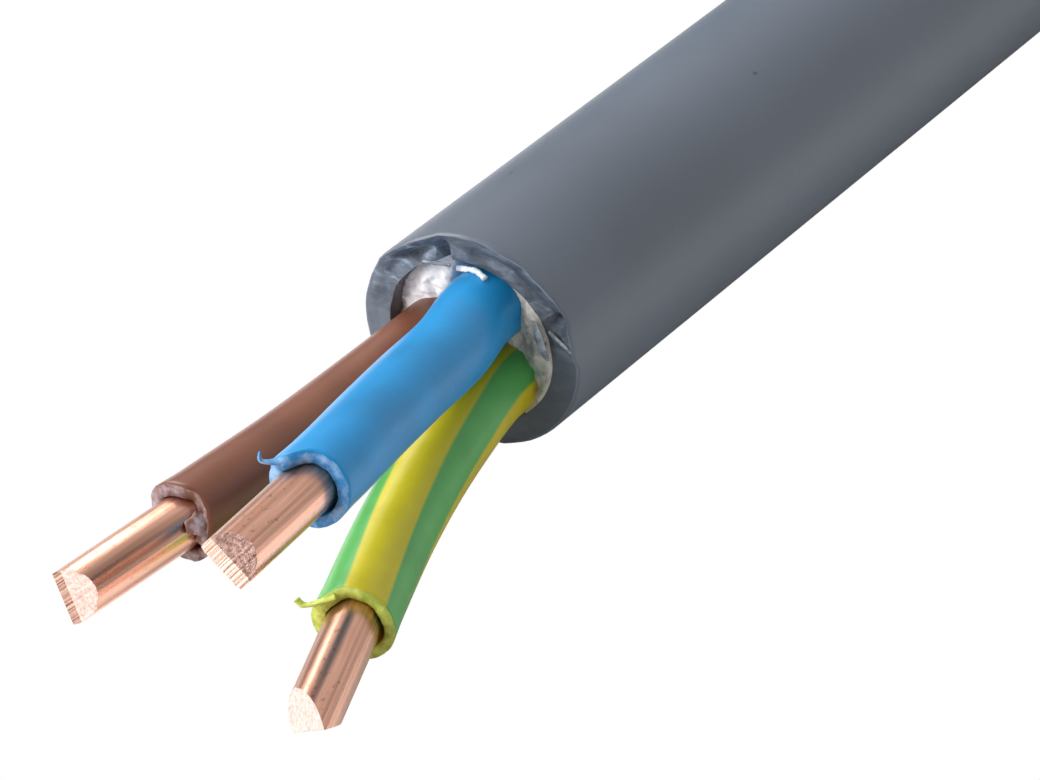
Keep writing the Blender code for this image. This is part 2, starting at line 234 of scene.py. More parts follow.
def cable_route(sizes):
    """The cable's whole centre line: straight from the cut, then round the coil's twelve turns."""
    reach = COIL_CENTRE.y - CUT.y
    straight = [CUT + Vector((0.0, reach * index / STRAIGHT_STEPS, 0.0))
                for index in range(STRAIGHT_STEPS)]
    count = round(sizes.turn_steps * FAR_ANGLE / 360.0)
    around = [coil_point(FAR_ANGLE * index / count, sizes.tie_lift)
              for index in range(count + 1)]
    return straight + around


def ring_frames(points):
    """A tangent, a side and an up direction at each point, carried along without twist."""
    frames = []
    up = Vector((0.0, 0.0, 1.0))
    for index in range(len(points)):
        ahead = (points[min(index + 1, len(points) - 1)] - points[max(index - 1, 0)]).normalized()
        up = (up - ahead * up.dot(ahead)).normalized()
        frames.append((ahead, ahead.cross(up), up))
    return frames


def select_only(obj):
    """Makes one object the only one selected, and the active one."""
    bpy.ops.object.select_all(action="DESELECT")
    obj.select_set(True)
    bpy.context.view_layer.objects.active = obj


WELD = 0.0005 * MM


def edit_all():
    """Puts the active object in edit mode with everything selected."""
    bpy.ops.object.mode_set(mode="EDIT")
    bpy.ops.mesh.select_all(action="SELECT")


def select_where(obj, kind, test):
    """Selects the vertices or faces that pass a test, and leaves the object in edit mode."""
    bpy.ops.object.mode_set(mode="EDIT")
    bpy.ops.mesh.select_mode(type=kind)
    bpy.ops.mesh.select_all(action="DESELECT")
    bpy.ops.object.mode_set(mode="OBJECT")
    for part in obj.data.vertices if kind == "VERT" else obj.data.polygons:
        part.select = test(part)
    bpy.ops.object.mode_set(mode="EDIT")


def thicken(obj, thickness, offset, rim=0):
    """Gives a thin sheet a wall. Its rim takes the finish that lies so many slots further."""
    wall = obj.modifiers.new("wall", "SOLIDIFY")
    wall.thickness = thickness
    wall.offset = offset
    wall.material_offset_rim = rim
    bpy.ops.object.modifier_apply(modifier="wall")


def swept_tube(name, points, radius, sides, capped=False):
    """A round tube along points, as a mesh that remembers its unbent position."""
    curve = bpy.data.curves.new(name, "CURVE")
    curve.dimensions = "3D"
    spline = curve.splines.new("POLY")
    spline.points.add(len(points) - 1)
    for knot, point in zip(spline.points, points):
        knot.co = (*point, 1.0)
    curve.bevel_depth = radius
    curve.bevel_resolution = (sides - 4) // 2
    curve.use_fill_caps = capped
    obj = bpy.data.objects.new(name, curve)
    bpy.context.scene.collection.objects.link(obj)
    select_only(obj)
    bpy.ops.object.convert(target="MESH")
    edit_all()
    bpy.ops.mesh.remove_doubles(threshold=WELD)
    bpy.ops.object.mode_set(mode="OBJECT")
    obj = bpy.context.object
    remember_unbent(obj, points)
    bpy.ops.object.shade_smooth()
    return obj


def remember_unbent(obj, points):
    """Stores where each vertex would be on a straight, untwisted tube, as an attribute."""
    frames = ring_frames(points)
    lengths = [0.0]
    for start, end in zip(points, points[1:]):
        lengths.append(lengths[-1] + (end - start).length)
    mesh = obj.data
    unbent = mesh.attributes.new("unbent", "FLOAT_VECTOR", "POINT")
    nearest = 0
    for vertex, store in zip(mesh.vertices, unbent.data):
        nearest = nearest_ring(points, vertex.co, nearest)
        ahead, side, up = frames[nearest]
        offset = vertex.co - points[nearest]
        store.vector = (offset.dot(side), lengths[nearest] + offset.dot(ahead), offset.dot(up))


def nearest_ring(points, place, guess):
    """The ring that a vertex belongs to, looked for first beside the last one found."""
    window = range(max(0, guess - 3), min(len(points), guess + 4))
    best = min(window, key=lambda index: (points[index] - place).length_squared)
    if best in (window[0], window[-1]) and 0 < best < len(points) - 1:
        best = min(range(len(points)), key=lambda index: (points[index] - place).length_squared)
    return best


def add_node(tree, kind, settings=None, inputs=None):
    """Adds a shader node with its settings, and its inputs as values or as sockets to link."""
    node = tree.nodes.new(kind)
    for key, value in (settings or {}).items():
        setattr(node, key, value)
    for key, value in (inputs or {}).items():
        if isinstance(value, bpy.types.NodeSocket):
            tree.links.new(value, node.inputs[key])
        else:
            node.inputs[key].default_value = value
    return node


class Finish:
    """A material whose nodes are added one after another and linked by name."""

    def __init__(self, name, roughness=0.5, metallic=0.0, specular=0.5):
        self.material = bpy.data.materials.new(name)
        self.material.use_nodes = True
        self.tree = self.material.node_tree
        self.shader = self.tree.nodes["Principled BSDF"]
        self.shader.inputs["Roughness"].default_value = roughness
        self.shader.inputs["Metallic"].default_value = metallic
        self.shader.inputs["Specular IOR Level"].default_value = specular

    def node(self, kind, settings=None, inputs=None):
        return add_node(self.tree, kind, settings, inputs)

    def stretched(self, start, scale):
        """Coordinates multiplied by a scale, so that a pattern is drawn out."""
        return self.node("ShaderNodeMapping", inputs={"Vector": start, "Scale": scale}).outputs[0]

    def solid(self):
        """The piece's own coordinates, in metres."""
        return self.node("ShaderNodeTexCoord").outputs["Object"]

    def place(self, scale=(1.0, 1.0, 1.0)):
        """The piece's own coordinates, multiplied by a scale."""
        return self.stretched(self.solid(), scale)

    def unbent(self):
        """Where the surface would be on a straight cable."""
        return self.node("ShaderNodeAttribute", {"attribute_name": "unbent"}).outputs["Vector"]

    def streaks(self, length, scale, detail, roughness=0.55):
        """Noise along the unbent cable, drawn out more the smaller its length factor is."""
        return self.noise(self.stretched(self.unbent(), (1.0, length, 1.0)), scale, detail,
                          roughness)

    def noise(self, place, scale, detail, roughness=0.55, distortion=0.0):
        node = self.node("ShaderNodeTexNoise",
                         inputs={"Vector": place, "Scale": scale, "Detail": detail,
                                 "Roughness": roughness, "Distortion": distortion})
        return node.outputs["Fac"]

    def cells(self, place, scale):
        """How far a place is from the middle of its nearest cell, for specks."""
        node = self.node("ShaderNodeTexVoronoi", inputs={"Vector": place, "Scale": scale})
        return node.outputs["Distance"]

    def ramp(self, value, *stops):
        """A value turned into a colour or a grey by stops of position and colour."""
        node = self.node("ShaderNodeValToRGB", inputs={"Fac": value})
        while len(node.color_ramp.elements) < len(stops):
            node.color_ramp.elements.new(0.5)
        for element, (position, colour) in zip(node.color_ramp.elements, stops):
            element.position = position
            grey = isinstance(colour, float)
            element.color = (colour, colour, colour, 1.0) if grey else (*colour, 1.0)
        return node.outputs["Color"]

    def mix(self, amount, first, second):
        """The first colour, with the second over it by an amount."""
        under, over = (value if isinstance(value, bpy.types.NodeSocket) else (*value, 1.0)
                       for value in (first, second))
        node = self.node("ShaderNodeMix", {"data_type": "RGBA"}, {0: amount, 6: under, 7: over})
        return node.outputs[2]

    def maths(self, operation, first, second=0.0):
        node = self.node("ShaderNodeMath", {"operation": operation}, {0: first, 1: second})
        return node.outputs[0]

    def vector(self, operation, first, second=(0.0, 0.0, 0.0)):
        """A step of vector maths: a number for a length or a product, otherwise a vector."""
        node = self.node("ShaderNodeVectorMath", {"operation": operation}, {0: first, 1: second})
        return node.outputs["Value" if operation in ("LENGTH", "DOT_PRODUCT") else "Vector"]

    def axes(self, vector):
        """The three parts of a vector, by the names X, Y and Z."""
        return self.node("ShaderNodeSeparateXYZ", inputs={"Vector": vector}).outputs

    def ease(self, value, start, stop, first=0.0, last=1.0):
        """A level that eases from the first to the last as a value goes from start to stop."""
        node = self.node("ShaderNodeMapRange", {"interpolation_type": "SMOOTHSTEP"},
                         {"Value": value, "From Min": start, "From Max": stop, "To Min": first,
                          "To Max": last})
        return node.outputs["Result"]

    def colour(self, value):
        self.tree.links.new(value, self.shader.inputs["Base Color"])

    def rough(self, value, low, high):
        """Roughness from low to high, by a value from 0 to 1."""
        node = self.node("ShaderNodeMapRange",
                         inputs={"Value": value, "To Min": low, "To Max": high})
        self.tree.links.new(node.outputs["Result"], self.shader.inputs["Roughness"])

    def bump(self, height, distance, strength, under=None):
        """Relief by a height from 0 to 1, as deep as a distance, over a relief made before."""
        inputs = {"Height": height, "Distance": distance, "Strength": strength}
        if under:
            inputs["Normal"] = under
        node = self.node("ShaderNodeBump", inputs=inputs)
        self.tree.links.new(node.outputs["Normal"], self.shader.inputs["Normal"])
        return node.outputs["Normal"]


def tinted(colour, factor):
    """A colour made lighter or darker by a factor."""
    return tuple(min(1.0, channel * factor) for channel in colour)


def sheath_finish(colours):
    """Satin soft plastic: slate grey, a faint grain, long die lines, specks and a scuff."""
    finish = Finish("sheath_skin", 0.40, specular=0.5)
    place = finish.place()
    base = tuple(colours.sheath)
    cloud = finish.noise(place, 60.0, 4.0)
    tone = finish.ramp(cloud, (0.30, tinted(base, 0.90)), (0.72, tinted(base, 1.12)))
    specks = finish.ramp(finish.cells(place, 330.0), (0.035, 0.0), (0.05, 1.0))
    spotted = finish.mix(specks, tinted(base, 0.45), tone)
    scuff = finish.ramp(finish.streaks(0.12, 420.0, 2.0), (0.70, 0.0), (0.76, 1.0))
    finish.colour(finish.mix(finish.maths("MULTIPLY", scuff, 0.30), spotted, tinted(base, 1.9)))
    finish.rough(cloud, 0.36, 0.46)
    grain = finish.bump(finish.noise(place, 3200.0, 3.0), 0.012 * MM, 0.8)
    finish.bump(finish.streaks(0.03, 900.0, 2.0), 0.02 * MM, 0.5, under=grain)
    return finish.material


def sheath_cut_finish(colours):
    """The knifed face of the sheath: streaked, with stretched pale lines and a pale edge, a
    painted highlight along the rounded rim.
    """
    finish = Finish("sheath_cut", 0.55, specular=0.4)
    base = tuple(colours.sheath)
    across = finish.vector("SUBTRACT", finish.solid(), tuple(CUT))
    reach = finish.vector("LENGTH", finish.vector("MULTIPLY", across, (1.0, 0.0, 1.0)))
    # Painted highlight: the face turns paler towards the rounded outer rim of the cut.
    edge = finish.ease(reach, SHEATH_RADIUS - 0.17 * MM, SHEATH_RADIUS - 0.04 * MM)
    streaks = finish.noise(finish.place((0.45, 1.0, 1.0)), 1500.0, 4.0, distortion=0.8)
    axes = finish.axes(across)
    knifed = finish.ease(axes["Z"], -0.6 * MM, 2.6 * MM, 0.12, 0.9)
    torn = finish.ease(axes["X"], -0.8 * MM, -3.2 * MM, last=0.09)
    level = finish.mix(knifed, (0.56, 0.56, 0.56), finish.maths("ADD", streaks, torn))
    tone = finish.ramp(level, (0.34, tinted(base, 0.50)), (0.50, tinted(base, 0.88)),
                       (0.62, tinted(base, 1.5)), (0.76, tinted(base, 3.4)))
    # The rim's painted highlight is mixed over the face's tone here.
    finish.colour(finish.mix(edge, tone, tinted(base, 2.5)))
    finish.bump(level, 0.12 * MM, 0.8)
    return finish.material


def bore_finish(colours):
    """The sheath's inner wall: taupe grey, smooth, dusted by the packing."""
    finish = Finish("sheath_bore", 0.55, specular=0.35)
    dust = finish.noise(finish.place(), 700.0, 5.0)
    finish.colour(finish.ramp(dust, (0.35, (0.150, 0.140, 0.138)), (0.62, (0.215, 0.200, 0.190)),
                              (0.80, (0.420, 0.400, 0.370))))
    finish.bump(dust, 0.05 * MM, 0.5)
    return finish.material


INSULATION_ROUGHNESS = 0.30


def insulation_finish(name, colour):
    """Glossy core plastic with faint die lines and rubbed marks."""
    finish = Finish(name, INSULATION_ROUGHNESS, specular=0.36)
    cloud = finish.noise(finish.place(), 260.0, 4.0)
    tone = finish.ramp(cloud, (0.30, tinted(colour, 0.88)), (0.70, tinted(colour, 1.14)))
    marks = finish.ramp(finish.streaks(0.25, 900.0, 3.0), (0.68, 0.0), (0.78, 1.0))
    finish.colour(finish.mix(finish.maths("MULTIPLY", marks, 0.22), tone, tinted(colour, 2.0)))
    finish.rough(cloud, INSULATION_ROUGHNESS - 0.04, INSULATION_ROUGHNESS + 0.10)
    soft = finish.bump(finish.streaks(0.05, 1500.0, 3.0), 0.018 * MM, 0.7)
    finish.bump(finish.noise(finish.place(), 2600.0, 3.0), 0.010 * MM, 0.6, under=soft)
    return finish


# The earth core's bands, in shares of a turn round the unbent core, and their twist
GREEN_BANDS = ((-0.104, 0.045), (0.527, 0.718))
BAND_EDGE = 0.006
BAND_TWIST = 4.3        # turns in a metre
BAND_START = 28.0 * MM  # where along the core the bands' shares hold


def striped_finish(colours):
    """Green and yellow bands that run along the earth core."""
    green = tuple(colours.green)
    yellow = tuple(colours.yellow)
    finish = insulation_finish("insulation_green_yellow_skin", green)
    axes = finish.axes(finish.unbent())
    heading = finish.maths("ARCTAN2", axes["Z"], axes["X"])
    share = finish.maths("ADD", finish.maths("DIVIDE", heading, 2 * pi), 0.5)
    before = finish.maths("SUBTRACT", BAND_START, axes["Y"])
    turned = finish.maths("ADD", share, finish.maths("MULTIPLY", before, BAND_TWIST))
    wander = finish.maths("SUBTRACT", finish.streaks(0.05, 700.0, 2.0), 0.5)
    drift = finish.maths("MULTIPLY", wander, 0.02)
    place = finish.maths("FRACT", finish.maths("ADD", turned, drift))
    low, high = GREEN_BANDS
    band = finish.ramp(place, (high[0] - BAND_EDGE, 0.0), (high[0] + BAND_EDGE, 1.0),
                       (high[1] - BAND_EDGE, 1.0), (high[1] + BAND_EDGE, 0.0),
                       (1.0 + low[0] - BAND_EDGE, 0.0), (1.0 + low[0] + BAND_EDGE, 1.0))
    first = finish.ramp(place, (low[1] - BAND_EDGE, 1.0), (low[1] + BAND_EDGE, 0.0))
    bands = finish.maths("MAXIMUM", band, first)
    cloud = finish.noise(finish.place(), 420.0, 3.0)
    gold = finish.ramp(cloud, (0.30, tinted(yellow, 0.92)), (0.70, tinted(yellow, 1.10)))
    leaf = finish.ramp(cloud, (0.30, tinted(green, 0.92)), (0.70, tinted(green, 1.12)))
    finish.colour(finish.mix(bands, gold, leaf))
    return finish


def torn_finish(name, pale, deep):
    """The torn end of an insulation: pale where it was stretched, deep in its folds."""
    finish = Finish(name, 0.55, specular=0.4)
    tear = finish.noise(finish.place(), 1700.0, 5.0, 0.65)
    finish.colour(finish.ramp(tear, (0.40, deep), (0.66, pale)))
    finish.bump(tear, 0.08 * MM, 0.8)
    return finish.material


def copper_finish(colours):
    """Drawn copper: bands along the wire, dull tarnish lines and small pits in rows."""
    base = tuple(colours.copper)
    finish = Finish("copper_skin", 0.24, metallic=1.0)
    lines = finish.streaks(0.008, 1300.0, 5.0, 0.62)
    tarnish = finish.streaks(0.07, 620.0, 4.0, 0.6)
    tone = finish.ramp(lines, (0.36, tinted(base, 0.50)), (0.50, base),
                       (0.64, (0.98, 0.68, 0.55)))
    dull = finish.ramp(tarnish, (0.52, 0.0), (0.68, 1.0))
    spots = finish.ramp(finish.streaks(0.6, 4200.0, 3.0), (0.58, 0.0), (0.66, 1.0))
    rows = finish.ramp(finish.streaks(0.12, 900.0, 2.0), (0.54, 0.0), (0.60, 1.0))
    pits = finish.maths("MULTIPLY", finish.maths("MULTIPLY", spots, rows), 0.55)
    stained = finish.mix(finish.maths("MULTIPLY", dull, 0.60), tone, (0.40, 0.19, 0.125))
    finish.colour(finish.mix(pits, stained, (0.16, 0.075, 0.05)))
    finish.rough(tarnish, 0.14, 0.40)
    ridges = finish.bump(lines, 0.035 * MM, 0.8)
    finish.bump(finish.noise(finish.place(), 3000.0, 3.0), 0.010 * MM, 0.6, under=ridges)
    return finish.material


def copper_cut_finish(name, along, dark, pale, contrast):
    """A face that side cutters leave, scored across the direction of its ridge. Its dark and pale
    tones are painted light and shade, lighter or darker by how the face lies to the lamps.
    """
    finish = Finish(name, 0.46, metallic=0.85)
    reach = finish.vector("DOT_PRODUCT", finish.solid(), tuple(along))
    scores = finish.node("ShaderNodeTexNoise", {"noise_dimensions": "1D"},
                         {"W": reach, "Scale": 7500.0, "Detail": 3.0})
    grit = finish.noise(finish.place(), 5200.0, 4.0, 0.7)
    blend = finish.mix(contrast, grit, scores.outputs["Fac"])
    finish.colour(finish.ramp(blend, (0.36, dark), (0.62, pale)))
    finish.bump(blend, 0.06 * MM, 0.8)
    return finish.material


def packing_finish(name, deep, middle, pale):
    """Dry packing: a deep tone painted as shade in its hollows, a middle tone and pale crumbs or
    folds.
    """
    finish = Finish(name, 0.95, specular=0.15)
    crumbs = finish.noise(finish.place(), 1300.0, 6.0, 0.7)
    folds = finish.noise(finish.place((1.0, 0.4, 1.0)), 620.0, 3.0, 0.6, 1.2)
    blend = finish.mix(0.5, crumbs, folds)
    # Painted shade: the deep tone falls where the same blend sinks the relief into hollows.
    finish.colour(finish.ramp(blend, (0.34, deep), (0.46, middle), (0.60, pale)))
    finish.bump(blend, 0.16 * MM, 0.9)
    return finish.material


def tie_finish():
    """Black nylon with a faint moulded grain."""
    finish = Finish("tie_nylon", 0.40, specular=0.5)
    grain = finish.noise(finish.place(), 1400.0, 4.0)
    finish.colour(finish.ramp(grain, (0.30, 0.018), (0.72, 0.034)))
    finish.bump(grain, 0.02 * MM, 0.6)
    return finish.material


# Torn plastic: pale where it was stretched, and deep in its folds
TORN_TONES = {
    "blue_torn": ((0.24, 0.40, 0.64), (0.02, 0.19, 0.46)),
    "brown_torn": ((0.38, 0.31, 0.35), (0.16, 0.07, 0.045)),
    "green_yellow_torn": ((0.58, 0.62, 0.12), (0.34, 0.42, 0.06)),
    "sheath_shred": ((0.46, 0.49, 0.54), (0.16, 0.18, 0.21)),
}
# Dry packing: its deep, middle and pale tones. The deep tone is painted shade in the hollows, and
# the right strand's beige tones are the white packing in painted shade.
PACKING_TONES = {
    "packing_chalk": ((0.62, 0.56, 0.54), (0.92, 0.87, 0.88), (0.98, 0.96, 0.97)),
    # The white packing in painted shade, for the strand on the shaded right side.
    "packing_beige": ((0.34, 0.31, 0.265), (0.54, 0.50, 0.44), (0.72, 0.69, 0.64)),
    "packing_string": ((0.34, 0.36, 0.42), (0.62, 0.64, 0.70), (0.88, 0.90, 0.94)),
}
FINISHES = {}


def make_finishes(colours):
    """Makes every finish once, from the colours in the panel."""
    FINISHES["sheath"] = sheath_finish(colours)
    FINISHES["sheath_cut"] = sheath_cut_finish(colours)
    FINISHES["bore"] = bore_finish(colours)
    for name in ("blue", "brown"):
        skin = insulation_finish(f"insulation_{name}_skin", tuple(getattr(colours, name)))
        FINISHES[name] = skin.material
    FINISHES["green_yellow"] = striped_finish(colours).material
    FINISHES["copper"] = copper_finish(colours)
    for colour, tip in TIPS.items():
        ridge = tip_frame(core_route(colour, TIP_STEP))[1]
        for kind in ("bite", "shear"):
            dark, pale, contrast = tip[kind]
            name = f"{colour}_{kind}"
            FINISHES[name] = copper_cut_finish(name, ridge, dark, pale, contrast)
    for name, (pale, deep) in TORN_TONES.items():
        FINISHES[name] = torn_finish(name, pale, deep)
    for name, (deep, middle, pale) in PACKING_TONES.items():
        FINISHES[name] = packing_finish(name, deep, middle, pale)
    FINISHES["tie"] = tie_finish()


def dress(obj, *names):
    """Gives a piece its finishes, in the order of its material slots."""
    obj.data.materials.clear()
    for name in names:
        obj.data.materials.append(FINISHES[name])


def coil_ties():
    """The ties of the frame, which stay as they are."""
    return [bpy.data.objects[f"coil_tie_{index}"] for index in range(1, len(TIE_ANGLES) + 1)]


def keep(obj, slot, *nodes):
    """Ties a finished piece to the frame's root body and hides the nodes it stands for. The slot
    is not used.
    """
    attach(obj, "root")
    if nodes:
        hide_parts(*nodes)


# The sheath's cut end. Its fine rings lie behind the cut by distances in millimetres, and its
# cut face leans by a yaw and a pitch in degrees.
END_RINGS = (0.0, 0.12, 0.25, 0.4, 0.6, 0.85, 1.2, 1.7, 2.4, 3.4, 5.0, 8.0, 12.0)
END_PIECE = END_RINGS[-1] * MM
END_SIDES = 256
COIL_SIDES = 64
CORE_SIDES = 72
WIRE_SIDES = 64
JOIN_GAP = 0.5 * MM
JOIN_SLACK = 0.1 * MM
JOIN_REACH = 30.0 * MM
BORE_DEPTH = 24.0 * MM
WALL_RINGS = 10
BORE_RINGS = (0.3, 0.8, 1.6, 3.0, 6.0, BORE_DEPTH / MM)
RIM_ROUND = 0.07 * MM
RELIEF_REACH = 2.2 * MM
RELIEF_LIMIT = 3.0 * MM
TOUCH = 0.01 * MM
CUT_YAW = 5.3
CUT_PITCH = 3.2


def clock(offset):
    """Degrees clockwise from the top, seen from the cut end."""
    return atan2(offset.x, offset.z) * 180.0 / pi


def hump(value, centre, width):
    """A smooth bump over a range of degrees."""
    away = (value - centre + 180.0) % 360.0 - 180.0
    return exp(-(away / width) ** 2)


def cut_relief(offset):
    """How far the cut face stands forward, in metres, at a place across the cable."""
    angle = clock(offset)
    share = min(1.0, max(0.0, (offset.length - BORE_RADIUS) / SHEATH_WALL))
    lean = -tan(radians(CUT_YAW)) * offset.x + tan(radians(CUT_PITCH)) * offset.z
    rough = noise.noise(offset * 1100.0) * 0.13 + noise.noise(offset * 3600.0) * 0.06
    calm = 1.0 - 0.90 * hump(angle, 122.0, 34.0) + 1.3 * hump(angle, -44.0, 20.0)
    lip = 0.75 * hump(angle, -36.0, 16.0) * smooth_step(share * 2.2 - 0.9)
    under = -0.55 * hump(angle, -34.0, 13.0) * hump(share * 100.0, 48.0, 22.0)
    notch = -0.8 * hump(angle, -15.0, 2.6) * smooth_step(1.3 - share)
    groove = -0.30 * hump(angle, 35.0, 26.0) * hump(share * 100.0, 42.0, 16.0)
    wedge = -1.30 * hump(angle, 63.5, 4.5) * hump(share * 100.0, 56.0, 30.0)
    step = 0.32 * smooth_step((angle - 66.0) / 4.0) * smooth_step((88.0 - angle) / 4.0) * share
    lobe = 0.35 * hump(angle, 148.0, 12.0) * smooth_step(1.2 - share)
    return lean + (rough * calm + lip + under + notch + groove + wedge + step + lobe) * MM


def make_sheath(sizes):
    """The whole sheath: a fine cut end with its bore, then the long tube round the coil."""
    route = cable_route(sizes)
    end_points = [CUT + Vector((0.0, depth * MM, 0.0)) for depth in END_RINGS]
    end = swept_tube("sheath_end", end_points, SHEATH_RADIUS, END_SIDES)
    behind = [point for point in route if point.y > CUT.y + END_PIECE + JOIN_GAP or
              point.x < CUT.x - 1.0 * MM]
    sheath = swept_tube("cable_sheath", behind, SHEATH_RADIUS, COIL_SIDES)
    for store in sheath.data.attributes["unbent"].data:
        store.vector.y += (behind[0] - CUT).length
    select_only(sheath)
    end.select_set(True)
    bpy.ops.object.join()
    select_where(sheath, "VERT", lambda vertex: CUT.y + END_PIECE - JOIN_SLACK < vertex.co.y
                 < behind[0].y + JOIN_SLACK and (vertex.co - CUT).length < JOIN_REACH)
    bpy.ops.mesh.select_mode(type="EDGE")
    bpy.ops.mesh.bridge_edge_loops()
    open_cut_end(sheath)
    close_far_end(sheath, route[-1])
    bpy.ops.object.mode_set(mode="OBJECT")
    shape_cut_end(sheath)
    dress(sheath, "sheath", "sheath_cut", "bore", "packing_chalk")
    assign_sheath_faces(sheath, route)
    bpy.ops.object.shade_smooth_by_angle(angle=radians(50.0))
    keep(sheath, "sheath", "sheath_straight", "sheath_coil")
    return sheath, route


def open_cut_end(sheath):
    """Turns the cable's rim inward over the wall, and back down the bore to a closed bottom."""
    select_where(sheath, "VERT", lambda vertex: abs(vertex.co.y - CUT.y) < TOUCH)
    for index in range(1, WALL_RINGS + 1):
        before = SHEATH_RADIUS - SHEATH_WALL * (index - 1) / WALL_RINGS
        after = SHEATH_RADIUS - SHEATH_WALL * index / WALL_RINGS
        bpy.ops.mesh.extrude_region_move()
        shrink = after / before
        bpy.ops.transform.resize(value=(shrink, 1.0, shrink), center_override=CUT)
    depth = 0.0
    for target in BORE_RINGS:
        bpy.ops.mesh.extrude_region_move(
            TRANSFORM_OT_translate={"value": (0.0, target * MM - depth, 0.0)})
        depth = target * MM
    bpy.ops.mesh.edge_face_add()


def close_far_end(sheath, tip):
    """Closes the far end of the tube, inside which the cores' cut faces show."""
    select_where(sheath, "VERT", lambda vertex:
                 abs((vertex.co - tip).length - SHEATH_RADIUS) < 2 * TOUCH)
    shrink = BORE_RADIUS / SHEATH_RADIUS
    bpy.ops.mesh.extrude_region_move()
    bpy.ops.transform.resize(value=(shrink, shrink, shrink), center_override=tip)
    bpy.ops.mesh.edge_face_add()


def shape_cut_end(sheath):
    """Moves the fine rings near the cut to the knife's relief."""
    for vertex in sheath.data.vertices:
        offset = vertex.co - CUT
        depth = offset.y
        flat = Vector((offset.x, 0.0, offset.z))
        if depth > RELIEF_LIMIT or flat.length > SHEATH_RADIUS + JOIN_GAP:
            continue
        share = 1.0 - smooth_step(depth / RELIEF_REACH)
        vertex.co.y -= cut_relief(flat) * share
        if abs(depth) < TOUCH and flat.length > SHEATH_RADIUS - TOUCH:
            vertex.co -= flat * (RIM_ROUND / flat.length)


def assign_sheath_faces(sheath, route):
    """Gives the cut face, the bore and the far end their own finishes."""
    tip = route[-1]
    ahead = ring_frames(route)[-1][0]
    for polygon in sheath.data.polygons:
        offset = polygon.center - CUT
        reach = sqrt(offset.x ** 2 + offset.z ** 2)
        if (polygon.center - tip).length < SHEATH_RADIUS and polygon.normal.dot(ahead) > 0.9:
            polygon.material_index = 3 if len(polygon.vertices) > 4 else 1
            continue
        if offset.y < RELIEF_LIMIT and reach < SHEATH_RADIUS * 0.992 and polygon.normal.y < -0.35:
            polygon.material_index = 1
        elif reach < BORE_RADIUS * 1.01 and offset.y < BORE_DEPTH + 1.0 * MM:
            polygon.material_index = 2
        else:
            polygon.material_index = 0


def make_insulation(colour):
    """One core's insulation: a tube with its wall and a torn end."""
    points = insulation_route(colour)
    obj = swept_tube(f"insulation_{colour}_skin", points, CORE_RADIUS, CORE_SIDES)
    dress(obj, colour, f"{colour}_torn")
    thicken(obj, CORE_RADIUS - CONDUCTOR_RADIUS - WIRE_GAP, offset=-1.0, rim=1)
    tear_end(obj, points, colour)
    bpy.ops.object.shade_smooth()
    keep(obj, f"insulation_{colour}", f"insulation_{colour}")
    return obj


# How the end of each insulation runs: humps by their turn from across the picture towards the
# camera and their width, in degrees, and how far they stand forward, in millimetres
TEARS = {
    "blue": ((158.0, 27.0, 1.05), (80.0, 30.0, -0.10), (-25.0, 30.0, 0.10)),
    "brown": ((40.0, 17.0, 0.50), (108.0, 24.0, -0.35), (-35.0, 26.0, 0.30),
              (165.0, 28.0, 0.10)),
    "green_yellow": ((118.0, 28.0, -0.10), (10.0, 40.0, 0.18), (160.0, 24.0, 0.40)),
}
TEAR_REACH = 1.5 * MM


def tear_end(obj, points, colour):
    """Pulls the end of the insulation into a torn edge, a little flared round the copper."""
    end, across, near, ahead = tip_frame(points)
    seed = Vector((len(colour) * 7.0, 3.0, 1.0))
    for vertex in obj.data.vertices:
        offset = vertex.co - end
        depth = -offset.dot(ahead)
        if depth > TEAR_REACH or offset.length > 4.0 * MM:
            continue
        side = (offset + ahead * depth).normalized()
        angle = atan2(side.dot(near), side.dot(across)) * 180.0 / pi
        pull = sum(height * hump(angle, centre, width) for centre, width, height in TEARS[colour])
        pull += noise.noise(side * 2.2 + seed) * 0.16 + noise.noise(side * 7.0 + seed) * 0.07
        fade = 1.0 - smooth_step(depth / TEAR_REACH)
        inner = (offset + ahead * depth).length < (CORE_RADIUS + CONDUCTOR_RADIUS) / 2
        flare = 0.16 * hump(angle, -5.0, 50.0) if inner else 0.05
        vertex.co += ahead * (pull * fade * MM) + side * (flare * fade * MM)


SLIVER_STEP = 0.08 * MM
FLAP_THICKNESS = 0.14 * MM
SHRED_THICKNESS = 0.10 * MM


def make_sliver(name, points, widths, across, thickness, finish, slot):
    """A thin torn strip along points, as wide at each as the widths say."""
    route = smooth_curve(points, SLIVER_STEP)
    bpy.ops.object.select_all(action="DESELECT")
    bpy.ops.mesh.primitive_grid_add(x_subdivisions=len(route) - 1, y_subdivisions=6, size=2.0)
    obj = bpy.context.object
    obj.name = name
    frames = ring_frames(route)
    for vertex in obj.data.vertices:
        share = (vertex.co.x + 1.0) / 2
        index = min(len(route) - 1, round(share * (len(route) - 1)))
        ahead = frames[index][0]
        side = (across - ahead * across.dot(ahead)).normalized()
        knot = share * (len(widths) - 1)
        before = min(int(knot), len(widths) - 2)
        width = widths[before] + (widths[before + 1] - widths[before]) * (knot - before)
        ragged = 1.0 + 0.35 * noise.noise(route[index] * 3000.0)
        bowed = ahead.cross(side) * (1.0 - vertex.co.y ** 2) * width * 0.12
        vertex.co = route[index] + side * vertex.co.y * width * ragged / 2 + bowed
    thicken(obj, thickness, offset=0.0)
    dress(obj, finish)
    bpy.ops.object.shade_smooth()
    keep(obj, slot)
    return obj


